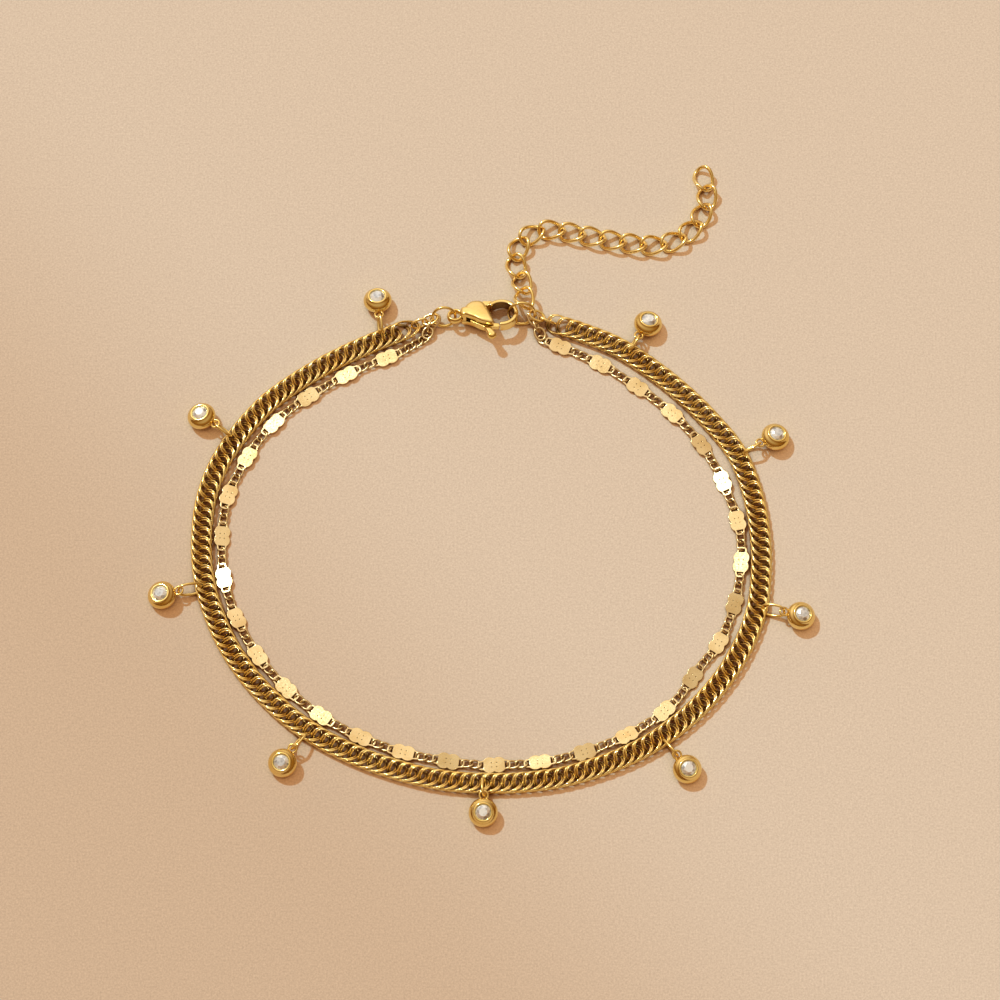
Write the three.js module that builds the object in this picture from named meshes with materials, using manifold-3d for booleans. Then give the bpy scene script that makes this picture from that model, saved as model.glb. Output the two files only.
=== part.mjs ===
// A double-layer charm anklet lying flat as a closed loop: a wide double curb chain, a finer plate
// chain inside it, nine bezel-set stones on jump rings, a lobster clasp and an extender of curb links.
// Millimetres, +Z up. The anklet lies on the plane z = 0, with the origin under the middle of its box.
// X runs from the clasp to the end ring, and +Y points to the extender. Plan positions are measured
// from the middle of the loop, and ORIGIN is where that point lies.

import * as THREE from "three";
import { ConvexGeometry } from "three/addons/geometries/ConvexGeometry.js";
import { mergeVertices } from "three/addons/utils/BufferGeometryUtils.js";
import Module from "manifold-3d";

const wasm = await Module();
wasm.setup();

// Driving dimensions, in millimetres and degrees.
const ORIGIN = { x: -0.07, y: -0.375 };

const CLEARANCE = 0.1; // between pieces that move against each other

const MAIN_CHAIN = {
  width: 2.6,
  thickness: 1.15,
  cornerRise: 0.3, // how far the band's edges are rounded off
  flat: 1.9, // width of the flat faces above and below
  steps: 80,
};

const PLATE_CHAIN = {
  linkWidth: 0.84,
  linkThickness: 0.5,
  centreHeight: 0.36,
  steps: 80,
  plates: 31,
  plateLength: 3.6,
  plateWidth: 1.9,
  plateWaist: 1.6,
  plateTipWidth: 0.7,
  plateThickness: 0.3,
  firstPlate: 5.4, // along the chain, from its clasp end
  plateSpacing: 5.5,
};

const END_LINK = { halfWidth: 0.72, wire: 0.3 };

const CHARM = {
  radius: 1.75,
  height: 1.85,
  rimRadius: 1.25,
  seatRadius: 1.05,
  floor: 0.8, // height of the bottom of the stone's seat
  eyeDistance: 2.1, // from the middle of the stone to the middle of the eye's hole
  eyeRadius: 0.5,
  eyeWire: 0.24,
  eyeDrop: 0.3, // below the middle of the bezel's height
  lift: 0.05, // of its lowest edge above the surface
  sides: 14,
  cushion: 0.66, // radius of the flat underside, as a share of the bezel's
};

const STONE = { radius: 0.95, tableRadius: 0.55, crown: 0.33, pavilion: 0.72, girdle: 1.72 };

// Each ring goes through the main chain at its root, no further out than furthestRoot from the
// chain's middle, and far enough from its eye to have room for both.
const CHARM_RING = {
  halfWidth: 0.86,
  wire: 0.34,
  rootHeight: 0.75,
  squareness: 2.6,
  furthestRoot: 0.62,
  shortestSpan: 2.25,
};

const SLOT = { halfLength: 0.45, bridgeHeight: 0.42, through: 3 };

const CLASP = {
  x: -3.17,
  y: 23.09,
  height: 1.5, // of the middle plane above the surface
  turn: 3.5, // about Z
  roll: -16, // about its own length, with the far edge down
  thickness: 2.3,
  bevel: 0.35,
  gap: 0.8, // between the cheeks, where the lever swings
  eyeRadius: 1.0,
  eyeHole: 0.6,
  eyeThickness: 0.86,
  hookX: 5.7, // middle of the hook's opening, from the middle of the eye
  hookY: -0.2,
  hookOuter: 2.1,
  hookInner: 1.52,
  hookThickness: 1.3,
  hookCorner: 0.15,
  rootThickness: 1.5,
  hookTip: -98, // where the hook ends, as an angle about its middle
  hookRoot: 128,
};

const LEVER = {
  pivotX: 3.0,
  pivotY: 0.39,
  thickness: 0.6,
  hubRadius: 0.5,
  hole: 0.32,
  pin: 0.21,
  padX: 4.35,
  padY: -3.3,
  padRadius: 0.62,
  padThickness: 0.78,
};

const CLASP_RING = { radius: 1.4, wire: 0.36, tilt: 60, height: 1.52 };
const END_RING = { x: 5.03, y: 23.4, radius: 1.62, wire: 0.38, tilt: 62, height: 1.67 };

const EXTENDER = { links: 16, halfLength: 1.6, halfWidth: 1.13, twist: 0.5, wire: 0.38 };

// The loop of the main chain, counter-clockwise from the clasp as seen from above. inset is how far
// inside it the plate chain runs.
const LOOP = [
  { x: -8.2, y: 22.15, inset: 2.3 },
  { x: -11.1, y: 20.9, inset: 2.45 },
  { x: -16.3, y: 18.5, inset: 2.4 },
  { x: -21.5, y: 15.4, inset: 2.4 },
  { x: -25.9, y: 12.0, inset: 2.4 },
  { x: -29.1, y: 8.3, inset: 2.4 },
  { x: -31.7, y: 4.1, inset: 2.6 },
  { x: -33.3, y: -0.3, inset: 2.5 },
  { x: -33.9, y: -5.4, inset: 2.5 },
  { x: -33.5, y: -11.5, inset: 2.4 },
  { x: -31.9, y: -16.9, inset: 2.4 },
  { x: -29.5, y: -21.7, inset: 2.4 },
  { x: -25.9, y: -26.4, inset: 2.4 },
  { x: -21.3, y: -30.6, inset: 2.45 },
  { x: -15.9, y: -33.8, inset: 2.4 },
  { x: -10.0, y: -36.1, inset: 2.4 },
  { x: -4.7, y: -37.4, inset: 2.55 },
  { x: 0.2, y: -37.8, inset: 2.4 },
  { x: 5.0, y: -37.7, inset: 2.4 },
  { x: 9.9, y: -37.0, inset: 2.4 },
  { x: 15.0, y: -35.4, inset: 2.4 },
  { x: 20.0, y: -33.0, inset: 2.4 },
  { x: 24.9, y: -29.3, inset: 2.5 },
  { x: 28.6, y: -25.2, inset: 3.1 },
  { x: 31.4, y: -20.7, inset: 2.8 },
  { x: 33.3, y: -15.8, inset: 2.8 },
  { x: 34.0, y: -10.5, inset: 2.5 },
  { x: 33.9, y: -5.0, inset: 2.4 },
  { x: 32.9, y: 0.6, inset: 2.9 },
  { x: 31.2, y: 5.2, inset: 3.1 },
  { x: 28.5, y: 9.0, inset: 2.8 },
  { x: 25.0, y: 12.9, inset: 2.8 },
  { x: 20.8, y: 16.6, inset: 3.0 },
  { x: 16.4, y: 19.6, inset: 3.0 },
  { x: 12.0, y: 21.5, inset: 2.7 },
  { x: 8.8, y: 22.6, inset: 2.4 },
];

// Where the end links of the two chains start and end, in the chains and round the rings.
const END_LINKS = {
  mainAtClasp: { from: [-8.5, 22.05, 0.68], to: [-5.4, 23.08, 1.5] },
  mainAtEndRing: { from: [9.1, 22.5, 0.68], to: [6.05, 23.5, 1.7] },
  plateAtClasp: { from: [-6.9, 20.6, 0.4], to: [-5.4, 23.45, 1.15] },
  plateAtEndRing: { from: [7.6, 20.4, 0.4], to: [6.15, 23.8, 1.12] },
};

// The charms: how far along the main chain the ring goes through it, how far outside the chain's
// middle the stone lies, how far it leans along the chain, the tilt that lifts its eye, and the
// turn of its ring about its own length.
const CHARMS = [
  { at: 0.024, reach: 5.1, lean: -18, tilt: 15, roll: 12 },
  { at: 0.1455, reach: 5.05, lean: 0, tilt: 16, roll: -26 },
  { at: 0.2555, reach: 5.4, lean: 0, tilt: 15, roll: 26 },
  { at: 0.3785, reach: 5.3, lean: 0, tilt: 16, roll: -24 },
  { at: 0.499, reach: 3.95, lean: 0, tilt: 16, roll: 15 },
  { at: 0.619, reach: 5.3, lean: 0, tilt: 16, roll: 12 },
  { at: 0.7305, reach: 5.4, lean: 0, tilt: 15, roll: -26 },
  { at: 0.841, reach: 5.15, lean: 0, tilt: 15, roll: 24 },
  { at: 0.945, reach: 4.5, lean: 0, tilt: 15, roll: 20 },
];

// The extender's route, from the end ring to its last link.
const EXTENDER_ROUTE = [
  [5.3, 25.4, 1.8],
  [5.0, 28.1, 0.95],
  [4.3, 30.7, 0.72],
  [4.6, 32.7, 0.72],
  [6.1, 34.6, 0.72],
  [8.3, 35.3, 0.72],
  [10.8, 35.0, 0.72],
  [16.0, 33.9, 0.72],
  [21.2, 33.2, 0.72],
  [24.0, 33.8, 0.72],
  [26.3, 35.5, 0.72],
  [27.6, 37.7, 0.72],
  [28.2, 40.1, 0.72],
  [27.8, 42.4, 0.72],
];

const UP = new THREE.Vector3(0, 0, 1);

const goldPolished = { color: 0xe2b04a, roughness: 0.22, metalness: 1.0 };
const goldPlate = { color: 0xe8bd5c, roughness: 0.3, metalness: 1.0 };
const stoneClear = { color: 0xf4f7fb, roughness: 0.03, metalness: 0.0 };

const anklet = new THREE.Group();

function addPiece(name, geometry, finish) {
  const mesh = new THREE.Mesh(geometry, new THREE.MeshStandardMaterial(finish));
  mesh.name = name;
  mesh.position.set(ORIGIN.x, ORIGIN.y, 0);
  anklet.add(mesh);
}

function solidOf(geometry) {
  const bare = geometry.clone();
  bare.deleteAttribute("normal");
  bare.deleteAttribute("uv");
  const merged = mergeVertices(bare, 1e-4);
  const vertProperties = merged.attributes.position.array;
  const triVerts = new Uint32Array(merged.index.array);
  return new wasm.Manifold(new wasm.Mesh({ numProp: 3, vertProperties, triVerts }));
}

function geometryOf(solid) {
  const mesh = solid.getMesh();
  const positions = new THREE.BufferAttribute(new Float32Array(mesh.vertProperties), 3);
  const geometry = new THREE.BufferGeometry().setAttribute("position", positions);
  return geometry.setIndex(new THREE.BufferAttribute(mesh.triVerts, 1));
}

function radians(degrees) {
  return (degrees * Math.PI) / 180;
}

function vector(point) {
  return new THREE.Vector3(point[0], point[1], point[2] ?? 0);
}

// A closed wire along centreline(u), u from 0 to 2 pi, bent from a ring of the same wire.
function wireLoop(centreline, wire, around, sides) {
  const ring = new THREE.TorusGeometry(1, wire / 2, sides, around);
  const position = ring.attributes.position;
  const step = 1e-4;
  for (let i = 0; i < position.count; i++) {
    const x = position.getX(i);
    const y = position.getY(i);
    const u = Math.atan2(y, x);
    const tangent = centreline(u + step).sub(centreline(u - step)).normalize();
    const centre = centreline(u);
    const outward = centreline(u).sub(centreline(u + Math.PI));
    outward.addScaledVector(tangent, -outward.dot(tangent)).normalize();
    const side = new THREE.Vector3().crossVectors(outward, tangent);
    centre.addScaledVector(outward, Math.hypot(x, y) - 1);
    centre.addScaledVector(side, position.getZ(i));
    position.setXYZ(i, centre.x, centre.y, centre.z);
  }
  return ring;
}

// An oval wire in the XY plane, long in X. Squareness 2 is an ellipse, and more has fuller ends.
function ovalLoop(halfLength, halfWidth, wire, around, sides, squareness = 2) {
  const full = (value) => Math.sign(value) * Math.abs(value) ** (2 / squareness);
  const centreline = (u) =>
    new THREE.Vector3(halfLength * full(Math.cos(u)), halfWidth * full(Math.sin(u)), 0);
  return wireLoop(centreline, wire, around, sides);
}

// A matrix whose X axis points along direction, with Y level, turned by roll about X.
function frameAlong(origin, direction, roll = 0) {
  const along = direction.clone().normalize();
  const level = new THREE.Vector3().crossVectors(UP, along).normalize();
  const above = new THREE.Vector3().crossVectors(along, level);
  const frame = new THREE.Matrix4().makeBasis(along, level, above);
  frame.multiply(new THREE.Matrix4().makeRotationX(radians(roll)));
  return frame.setPosition(origin);
}

// An oval link whose wire's middle line runs from one point to the other and back.
function linkBetween({ from, to }, halfWidth, wire) {
  const start = vector(from);
  const span = vector(to).sub(start);
  const middle = start.clone().addScaledVector(span, 0.5);
  const link = ovalLoop(span.length() / 2, halfWidth, wire, 12, 6);
  return link.applyMatrix4(frameAlong(middle, span));
}

function band(route, halfWidth, halfThickness, flatHalf, edgeHalf, steps) {
  const section = new THREE.Shape([
    new THREE.Vector2(halfThickness, flatHalf),
    new THREE.Vector2(edgeHalf, halfWidth),
    new THREE.Vector2(-edgeHalf, halfWidth),
    new THREE.Vector2(-halfThickness, flatHalf),
    new THREE.Vector2(-halfThickness, -flatHalf),
    new THREE.Vector2(-edgeHalf, -halfWidth),
    new THREE.Vector2(edgeHalf, -halfWidth),
    new THREE.Vector2(halfThickness, -flatHalf),
  ]);
  return new THREE.ExtrudeGeometry(section, { extrudePath: route, steps });
}

function extruded(points, thickness) {
  const shape = new THREE.Shape(points.map(([x, y]) => new THREE.Vector2(x, y)));
  const plate = new THREE.ExtrudeGeometry(shape, { depth: thickness, bevelEnabled: false });
  return plate.translate(0, 0, -thickness / 2);
}

const mainHeight = MAIN_CHAIN.thickness / 2;
const mainRoute = new THREE.CatmullRomCurve3(LOOP.map(({ x, y }) => vector([x, y, mainHeight])));

// The outward direction of the level chain at a share of its length.
function outwardAt(route, share) {
  const tangent = route.getTangentAt(share);
  return new THREE.Vector3(tangent.y, -tangent.x, 0).normalize();
}

// Where a charm, its ring and the ring's slot in the chain are.
function charmPlaces({ at, reach, lean, tilt, roll }) {
  const middle = mainRoute.getPointAt(at);
  const outward = outwardAt(mainRoute, at).applyAxisAngle(UP, radians(lean));
  const rounding = CHARM.height / 2;
  const lift = (CHARM.radius - rounding) * Math.sin(radians(tilt)) + rounding + CHARM.lift;
  const centre = middle.clone().addScaledVector(outward, reach).setZ(lift);
  const cos = Math.cos(radians(tilt));
  const sin = Math.sin(radians(tilt));
  const eyeReach = CHARM.eyeDistance * cos + CHARM.eyeDrop * sin;
  const eye = centre.clone().addScaledVector(outward, -eyeReach);
  eye.z += CHARM.eyeDistance * sin - CHARM.eyeDrop * cos;
  const { furthestRoot, shortestSpan } = CHARM_RING;
  const rootReach = Math.min(furthestRoot, reach - eyeReach - shortestSpan);
  const root = middle.clone().addScaledVector(outward, rootReach).setZ(CHARM_RING.rootHeight);
  return { middle, outward, centre, eye, root, rootReach, tilt, roll };
}

function slotCutter({ middle, outward, rootReach, roll }) {
  const spread = CHARM_RING.halfWidth * Math.sin(radians(Math.abs(roll)));
  const width = 2 * spread + CHARM_RING.wire + 2 * CLEARANCE;
  const edge = MAIN_CHAIN.width / 2;
  const through = new THREE.BoxGeometry(2 * SLOT.halfLength, width, SLOT.through);
  through.translate(rootReach, 0, 0);
  const start = rootReach - SLOT.halfLength;
  const end = 2 * edge;
  const grooveTop = MAIN_CHAIN.thickness - SLOT.bridgeHeight - mainHeight;
  const groove = new THREE.BoxGeometry(end - start, width, SLOT.through);
  groove.translate((end + start) / 2, 0, grooveTop - SLOT.through / 2);
  const frame = frameAlong(middle, outward);
  return solidOf(through.applyMatrix4(frame)).add(solidOf(groove.applyMatrix4(frame)));
}

function mainChain(places) {
  const { width, thickness, flat, cornerRise, steps } = MAIN_CHAIN;
  const edgeHalf = thickness / 2 - cornerRise;
  let chain = solidOf(band(mainRoute, width / 2, thickness / 2, flat / 2, edgeHalf, steps));
  for (const place of places) chain = chain.subtract(slotCutter(place));
  for (const ends of [END_LINKS.mainAtClasp, END_LINKS.mainAtEndRing]) {
    chain = chain.add(solidOf(linkBetween(ends, END_LINK.halfWidth, END_LINK.wire)));
  }
  return geometryOf(chain);
}

function plateOutline() {
  const { plateLength, plateWidth, plateWaist, plateTipWidth } = PLATE_CHAIN;
  const half = plateLength / 2;
  const upper = [
    [half, plateTipWidth / 2],
    [half * 0.6, plateWidth / 2],
    [0, plateWaist / 2],
    [-half * 0.6, plateWidth / 2],
    [-half, plateTipWidth / 2],
  ];
  const lower = upper.map(([x, y]) => [-x, -y]);
  return upper.concat(lower);
}

function plateRoute() {
  const points = [];
  for (let i = 1; i < LOOP.length - 1; i++) {
    const share = i / (LOOP.length - 1);
    const tangent = mainRoute.getTangent(share);
    const inward = new THREE.Vector3(-tangent.y, tangent.x, 0).normalize();
    const point = mainRoute.getPoint(share).addScaledVector(inward, LOOP[i].inset);
    points.push(point.setZ(PLATE_CHAIN.centreHeight));
  }
  const atClasp = vector(END_LINKS.plateAtClasp.from).setZ(PLATE_CHAIN.centreHeight);
  const atEndRing = vector(END_LINKS.plateAtEndRing.from).setZ(PLATE_CHAIN.centreHeight);
  return new THREE.CatmullRomCurve3([atClasp, ...points, atEndRing]);
}

function plateChain() {
  const { linkWidth, linkThickness, steps, plates, plateThickness } = PLATE_CHAIN;
  const route = plateRoute();
  const half = linkThickness / 2;
  let chain = solidOf(band(route, linkWidth / 2, half, linkWidth / 4, half / 2, steps));
  const length = route.getLength();
  for (let i = 0; i < plates; i++) {
    const share = (PLATE_CHAIN.firstPlate + i * PLATE_CHAIN.plateSpacing) / length;
    const plate = extruded(plateOutline(), plateThickness);
    plate.applyMatrix4(frameAlong(route.getPointAt(share), route.getTangentAt(share)));
    chain = chain.add(solidOf(plate));
  }
  for (const ends of [END_LINKS.plateAtClasp, END_LINKS.plateAtEndRing]) {
    chain = chain.add(solidOf(linkBetween(ends, END_LINK.halfWidth, END_LINK.wire)));
  }
  return geometryOf(chain);
}

// A bezel: a round pillow with a raised rim round the stone's seat, and an eye soldered on its side.
// Its middle is the origin, its eye points along +X and its face along +Z.
function bezel() {
  const { radius, height, rimRadius, seatRadius, floor, sides } = CHARM;
  const profile = [
    [0, 0],
    [radius * CHARM.cushion, 0],
    [radius * 0.94, height * 0.2],
    [radius, height * 0.46],
    [radius * 0.93, height * 0.74],
    [rimRadius, height * 0.88],
    [rimRadius * 0.97, height],
    [seatRadius, height],
    [seatRadius, height * 0.86],
    [seatRadius * 0.2, floor],
    [0, floor],
  ];
  const body = new THREE.LatheGeometry(profile.map(([r, z]) => new THREE.Vector2(r, z)), sides);
  body.rotateX(Math.PI / 2).translate(0, 0, -height / 2);
  const eye = ovalLoop(CHARM.eyeRadius, CHARM.eyeRadius, CHARM.eyeWire, 10, 5);
  eye.translate(CHARM.eyeDistance, 0, -CHARM.eyeDrop);
  const seat = new THREE.CylinderGeometry(seatRadius, seatRadius, height, sides);
  seat.rotateX(Math.PI / 2).translate(0, 0, height * 0.5);
  return geometryOf(solidOf(body).add(solidOf(eye).subtract(solidOf(seat))));
}

// A round brilliant: an octagonal table, a crown and a pavilion of 16 facets each.
function brilliant() {
  const { radius, tableRadius, crown, pavilion } = STONE;
  const points = [new THREE.Vector3(0, 0, -pavilion)];
  for (let i = 0; i < 16; i++) {
    const turn = (i * Math.PI) / 8;
    points.push(new THREE.Vector3(radius * Math.cos(turn), radius * Math.sin(turn), 0));
    if (i % 2) continue;
    const table = new THREE.Vector3(tableRadius * Math.cos(turn), tableRadius * Math.sin(turn), crown);
    points.push(table);
  }
  return new ConvexGeometry(points).translate(0, 0, STONE.girdle - CHARM.height / 2);
}

function charmFrame({ outward, centre, tilt }) {
  const inward = outward.clone().negate();
  const lifted = inward.multiplyScalar(Math.cos(radians(tilt)));
  lifted.z = Math.sin(radians(tilt));
  return frameAlong(centre, lifted);
}

function charmRing({ root, eye, roll }) {
  const span = eye.clone().sub(root);
  const middle = root.clone().addScaledVector(span, 0.5);
  const { halfWidth, wire, squareness } = CHARM_RING;
  const ring = ovalLoop(span.length() / 2, halfWidth, wire, 12, 5, squareness);
  return ring.applyMatrix4(frameAlong(middle, span, 90 + roll));
}

// The clasp lies in its own XY plane, with the middle of its eye at the origin and its hook along +X.
const CHEEK = [
  [0.75, 0.5],
  [1.2, 0.68],
  [1.65, 1.22],
  [2.35, 1.6],
  [3.4, 1.42],
  [3.95, 0.4],
  [4.4, -0.72],
  [4.6, -2.0],
  [3.3, -1.78],
  [2.2, -1.08],
  [1.3, -0.62],
  [0.75, -0.5],
];

// Where the hook's band leaves the cheeks.
const HOOK_ROOT = [
  [3.2, 1.0],
  [4.6, 1.0],
  [4.6, 1.88],
  [3.5, 1.88],
];

// The room between the cheeks in which the lever swings.
const LEVER_SPACE = [
  [1.35, 0.8],
  [2.2, 1.08],
  [4.0, 1.08],
  [5.6, -0.6],
  [5.6, -3.9],
  [1.3, -3.9],
];

// The lever closed: its arm, the gate that shuts the hook, and the stem of its thumb pad.
const LEVER_OUTLINE = [
  [2.55, 0.39],
  [1.8, -0.9],
  [2.1, -1.3],
  [3.65, -2.25],
  [3.78, -3.2],
  [4.35, -3.3],
  [4.92, -3.1],
  [4.95, -2.32],
  [5.3, -2.26],
  [5.3, -1.74],
  [4.6, -1.6],
  [4.05, -1.1],
  [3.5, 0.28],
];

function disc(x, y, radius, thickness, sides) {
  const geometry = new THREE.CylinderGeometry(radius, radius, thickness, sides);
  return geometry.rotateX(Math.PI / 2).translate(x, y, 0);
}

// A plate with this outline at its middle, its edges rounded off above and below.
function domed(outline, thickness, bevel) {
  const shape = new THREE.Shape(outline.map(([x, y]) => new THREE.Vector2(x, y)));
  const depth = thickness - 2 * bevel;
  const rounding = { bevelThickness: bevel, bevelSize: bevel, bevelOffset: -bevel, bevelSegments: 1 };
  return new THREE.ExtrudeGeometry(shape, { depth, ...rounding }).translate(0, 0, -depth / 2);
}

function arcRoute(radius, from, to, steps) {
  const points = [];
  for (let i = 0; i <= steps; i++) {
    const turn = radians(from + ((to - from) * i) / steps);
    points.push(vector([radius * Math.cos(turn), radius * Math.sin(turn)]));
  }
  return new THREE.CatmullRomCurve3(points);
}

// The hook's band, from its tip round to its root.
function hook() {
  const { hookOuter, hookInner, hookThickness, hookCorner, hookTip, hookRoot } = CLASP;
  const halfWidth = (hookOuter - hookInner) / 2;
  const halfThickness = hookThickness / 2;
  const route = arcRoute((hookOuter + hookInner) / 2, hookTip, hookRoot, 12);
  const flatHalf = halfWidth - hookCorner;
  const bar = band(route, halfWidth, halfThickness, flatHalf, halfThickness - hookCorner, 14);
  return bar.translate(CLASP.hookX, CLASP.hookY, 0);
}

function claspBody() {
  const { thickness, bevel, gap, eyeRadius, eyeHole, eyeThickness, hookX, hookY } = CLASP;
  const through = 2 * thickness;
  let body = solidOf(domed(CHEEK, thickness, bevel));
  body = body.subtract(solidOf(extruded(LEVER_SPACE, gap)));
  body = body.add(solidOf(extruded(HOOK_ROOT, CLASP.rootThickness)));
  body = body.subtract(solidOf(disc(hookX, hookY, CLASP.hookInner, through, 20)));
  body = body.add(solidOf(hook()));
  body = body.add(solidOf(disc(0, 0, eyeRadius, eyeThickness, 14)));
  body = body.subtract(solidOf(disc(0, 0, eyeHole, through, 12)));
  const pin = disc(LEVER.pivotX, LEVER.pivotY, LEVER.pin, thickness - bevel, 8);
  return geometryOf(body.add(solidOf(pin)));
}

function lever() {
  const { pivotX, pivotY, padX, padY, padRadius, padThickness, thickness } = LEVER;
  let plate = solidOf(extruded(LEVER_OUTLINE, thickness));
  plate = plate.add(solidOf(disc(pivotX, pivotY, LEVER.hubRadius, thickness, 12)));
  plate = plate.add(solidOf(disc(padX, padY, padRadius, padThickness, 12)));
  return geometryOf(plate.subtract(solidOf(disc(pivotX, pivotY, LEVER.hole, 2 * thickness, 10))));
}

function claspFrame() {
  const { x, y, height, turn, roll } = CLASP;
  const along = new THREE.Vector3(1, 0, 0).applyAxisAngle(UP, radians(turn));
  return frameAlong(vector([x, y, height]), along, roll);
}

// A round ring that stands at a tilt over the surface, its far side up.
function standingRing({ x, y, height, radius, wire, tilt }, turn) {
  const along = new THREE.Vector3(1, 0, 0).applyAxisAngle(UP, radians(turn));
  const ring = ovalLoop(radius, radius, wire, 16, 6);
  return ring.applyMatrix4(frameAlong(vector([x, y, height]), along, tilt));
}

function curbLink() {
  const { halfLength, halfWidth, twist, wire } = EXTENDER;
  const centreline = (u) =>
    new THREE.Vector3(halfLength * Math.cos(u), halfWidth * Math.sin(u), -twist * Math.sin(2 * u));
  return wireLoop(centreline, wire, 12, 5);
}

function addCharms(places) {
  places.forEach((place, i) => {
    const frame = charmFrame(place);
    addPiece("charm_bezel_" + (i + 1), bezel().applyMatrix4(frame), goldPolished);
    addPiece("charm_stone_" + (i + 1), brilliant().applyMatrix4(frame), stoneClear);
    addPiece("charm_ring_" + (i + 1), charmRing(place), goldPolished);
  });
}

function addExtender() {
  const route = new THREE.CatmullRomCurve3(EXTENDER_ROUTE.map(vector));
  for (let i = 0; i < EXTENDER.links; i++) {
    const share = i / (EXTENDER.links - 1);
    const frame = frameAlong(route.getPointAt(share), route.getTangentAt(share));
    const name = "extender_link_" + String(i + 1).padStart(2, "0");
    addPiece(name, curbLink().applyMatrix4(frame), goldPolished);
  }
}

function addClasp() {
  const frame = claspFrame();
  const ringMiddle = new THREE.Vector3(-CLASP_RING.radius, 0, 0).applyMatrix4(frame);
  const ring = { ...CLASP_RING, x: ringMiddle.x, y: ringMiddle.y };
  addPiece("clasp_body", claspBody().applyMatrix4(frame), goldPolished);
  addPiece("clasp_lever", lever().applyMatrix4(frame), goldPolished);
  addPiece("clasp_ring", standingRing(ring, CLASP.turn), goldPolished);
  addPiece("end_ring", standingRing(END_RING, 0), goldPolished);
}

const charmPlacesAll = CHARMS.map(charmPlaces);
addPiece("main_chain", mainChain(charmPlacesAll), goldPolished);
addPiece("plate_chain", plateChain(), goldPlate);
addCharms(charmPlacesAll);
addClasp();
addExtender();

export default anklet;
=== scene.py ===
import math
import random

import bmesh
import bpy
from mathutils import Matrix, Quaternion, Vector


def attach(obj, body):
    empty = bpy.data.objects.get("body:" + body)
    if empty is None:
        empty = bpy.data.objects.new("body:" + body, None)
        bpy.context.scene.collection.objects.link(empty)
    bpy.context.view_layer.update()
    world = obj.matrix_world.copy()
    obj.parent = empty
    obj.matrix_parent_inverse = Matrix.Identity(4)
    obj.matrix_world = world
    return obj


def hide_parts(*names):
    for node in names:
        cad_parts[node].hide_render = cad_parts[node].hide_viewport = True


# Sizes and places are in millimetres, in plan from the middle of the loop. metres() turns a finished
# mesh into metres from the origin, which lies a little to one side of that middle.
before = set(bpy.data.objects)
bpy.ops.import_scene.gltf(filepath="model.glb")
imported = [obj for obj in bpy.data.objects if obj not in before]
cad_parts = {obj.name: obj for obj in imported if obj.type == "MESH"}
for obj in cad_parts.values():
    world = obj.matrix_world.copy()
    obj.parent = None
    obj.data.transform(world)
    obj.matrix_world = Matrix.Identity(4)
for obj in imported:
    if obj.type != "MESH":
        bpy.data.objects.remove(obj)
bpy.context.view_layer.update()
loopMiddle = Vector((-0.07, -0.375, 0.0))
up = Vector((0.0, 0.0, 1.0))

loopRoute = [  # x, y and how far inside it the plate chain runs
    (-8.2, 22.15, 2.3), (-11.1, 20.9, 2.45), (-16.3, 18.5, 2.4), (-21.5, 15.4, 2.4),
    (-25.9, 12.0, 2.4), (-29.1, 8.3, 2.4), (-31.7, 4.1, 2.6), (-33.3, -0.3, 2.5),
    (-33.9, -5.4, 2.5), (-33.5, -11.5, 2.4), (-31.9, -16.9, 2.4), (-29.5, -21.7, 2.4),
    (-25.9, -26.4, 2.4), (-21.3, -30.6, 2.45), (-15.9, -33.8, 2.4), (-10.0, -36.1, 2.4),
    (-4.7, -37.4, 2.55), (0.2, -37.8, 2.4), (5.0, -37.7, 2.4), (9.9, -37.0, 2.4),
    (15.0, -35.4, 2.4), (20.0, -33.0, 2.4), (24.9, -29.3, 2.5), (28.6, -25.2, 3.1),
    (31.4, -20.7, 2.8), (33.3, -15.8, 2.8), (34.0, -10.5, 2.5), (33.9, -5.0, 2.4),
    (32.9, 0.6, 2.9), (31.2, 5.2, 3.1), (28.5, 9.0, 2.8), (25.0, 12.9, 2.8),
    (20.8, 16.6, 3.0), (16.4, 19.6, 3.0), (12.0, 21.5, 2.7), (8.8, 22.6, 2.4),
]
extenderRoute = [
    (5.3, 25.4, 1.8), (5.0, 28.1, 0.95), (4.3, 30.7, 0.72), (4.6, 32.7, 0.72), (6.1, 34.6, 0.72),
    (8.3, 35.3, 0.72), (10.8, 35.0, 0.72), (16.0, 33.9, 0.72), (21.2, 33.2, 0.72),
    (24.0, 33.8, 0.72), (26.3, 35.5, 0.72), (27.6, 37.7, 0.72), (28.2, 40.1, 0.72), (27.8, 42.4, 0.72),
]


# Shared helpers

def metres(mesh):
    mesh.transform(Matrix.Scale(0.001, 4) @ Matrix.Translation(loopMiddle))
    mesh.update()


def addObject(name, mesh):
    obj = bpy.data.objects.new(name, mesh)
    bpy.context.scene.collection.objects.link(obj)
    return obj


def meshFrom(name, verts, faces, smooth=True):
    mesh = bpy.data.meshes.new(name)
    mesh.from_pydata([tuple(v) for v in verts], [], faces)
    mesh.validate()
    for polygon in mesh.polygons:
        polygon.use_smooth = smooth
    return mesh


def evaluatedMesh(obj):
    return bpy.data.meshes.new_from_object(obj.evaluated_get(bpy.context.evaluated_depsgraph_get()))


# Turns a mesh's faces outwards, after merging its points that lie within the distance given.
def cleanShell(mesh, mergeWithin=0.0):
    made = bmesh.new()
    made.from_mesh(mesh)
    if mergeWithin:
        bmesh.ops.remove_doubles(made, verts=made.verts, dist=mergeWithin)
    bmesh.ops.recalc_face_normals(made, faces=made.faces)
    made.to_mesh(mesh)
    made.free()
    return mesh


def finishPiece(obj, body, slot, nodes, *materials):
    metres(obj.data)
    obj.data.materials.clear()
    for material in materials:
        obj.data.materials.append(material)
    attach(obj, body)
    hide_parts(*nodes)
    return obj


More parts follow.
